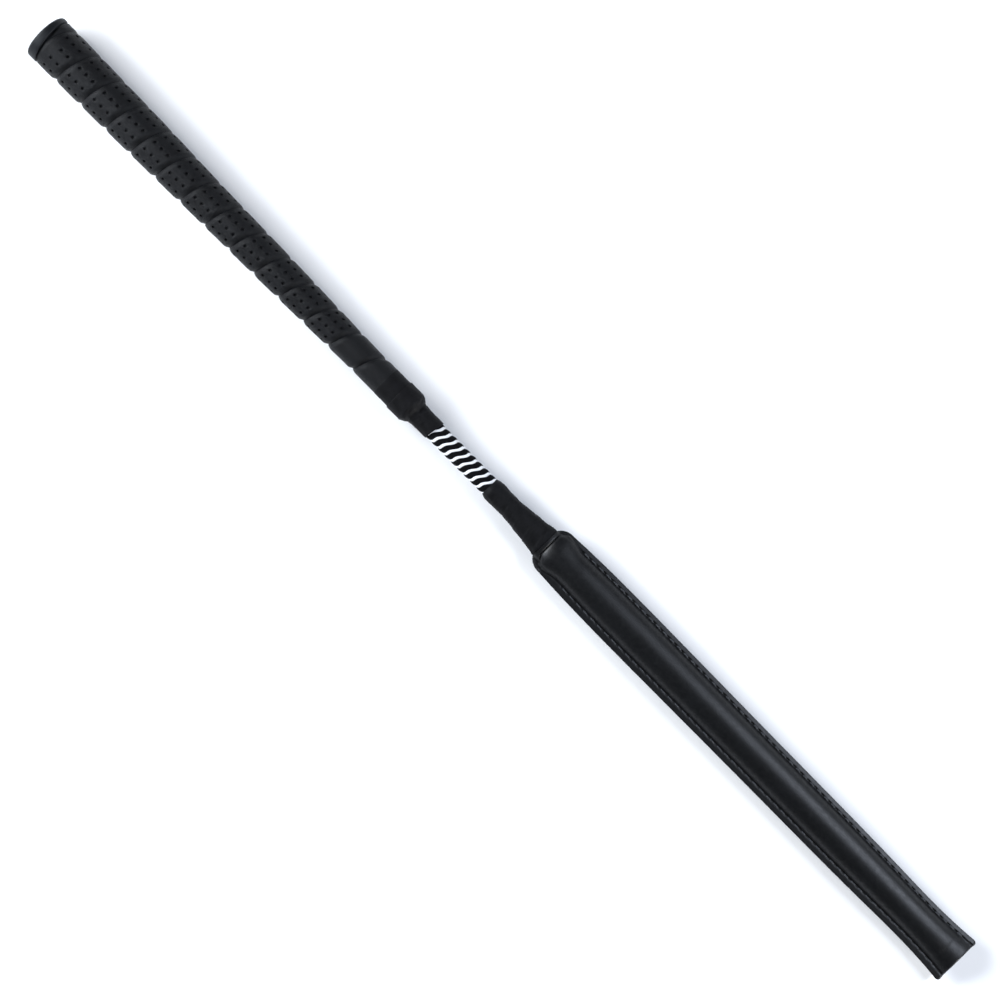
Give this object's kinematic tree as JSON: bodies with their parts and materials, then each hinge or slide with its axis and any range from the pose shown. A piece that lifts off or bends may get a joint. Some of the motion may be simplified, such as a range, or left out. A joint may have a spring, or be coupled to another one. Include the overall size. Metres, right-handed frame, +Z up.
{
  "type": "riding crop",
  "caption": "Padded riding crop lying flat: rubber butt cap, perforated wound grip, braided shaft and a long stitched soft flap whose free end bends past the rod.",
  "frame": {"origin": "on the surface the crop lies on, under the middle of its length", "axes": "+X from the butt cap towards the flap's tip, +Y across the flap, +Z up; the crop's own axis drops about half a degree towards +X, because the butt is thicker than the flap"},
  "size_m": [0.7001, 0.0296, 0.027],
  "materials": {
    "cap_rubber": "matte",
    "grip_leather": "matte",
    "core_foam": "matte",
    "adhesive_tape": "matte",
    "binding_tape": "matte",
    "fibreglass": "satin",
    "tip_rubber": "matte",
    "braid": "matte",
    "lashing_thread": "satin",
    "flap_leather": "satin",
    "pad_foam": "matte",
    "stitch_thread": "satin"
  },
  "bodies": {
    "whip": {"butt_cap": "cap_rubber", "rod": "fibreglass", "rod_tip_cap": "tip_rubber", "handle_core": "core_foam", "grip_under_tape": "adhesive_tape", "grip_wrap": "grip_leather", "finishing_band": "binding_tape", "shoulder_tape": "binding_tape", "braided_sleeve": "braid", "upper_lashing": "lashing_thread", "lower_lashing": "lashing_thread", "neck_lashing": "lashing_thread", "neck_binding_tape": "binding_tape", "neck_tab_front": "flap_leather", "neck_tab_back": "flap_leather", "flap_cover_front": "flap_leather", "flap_cover_back": "flap_leather", "flap_foam_front": "pad_foam", "flap_foam_back": "pad_foam", "flap_stitching_left": "stitch_thread", "flap_stitching_right": "stitch_thread"},
    "flap_end": {"flap_end_cover": "flap_leather", "flap_end_foam_front": "pad_foam", "flap_end_foam_back": "pad_foam", "flap_end_stitching_left": "stitch_thread", "flap_end_stitching_right": "stitch_thread"}
  },
  "joints": [
    {"name": "flap_bend", "type": "hinge", "parent": "whip", "child": "flap_end", "pos_m": [0.25498, 0, 0.00838], "axis": [0, 1, 0], "range_deg": [-45, 45], "stiffness_Nm_per_rad": 0.15}
  ]
}
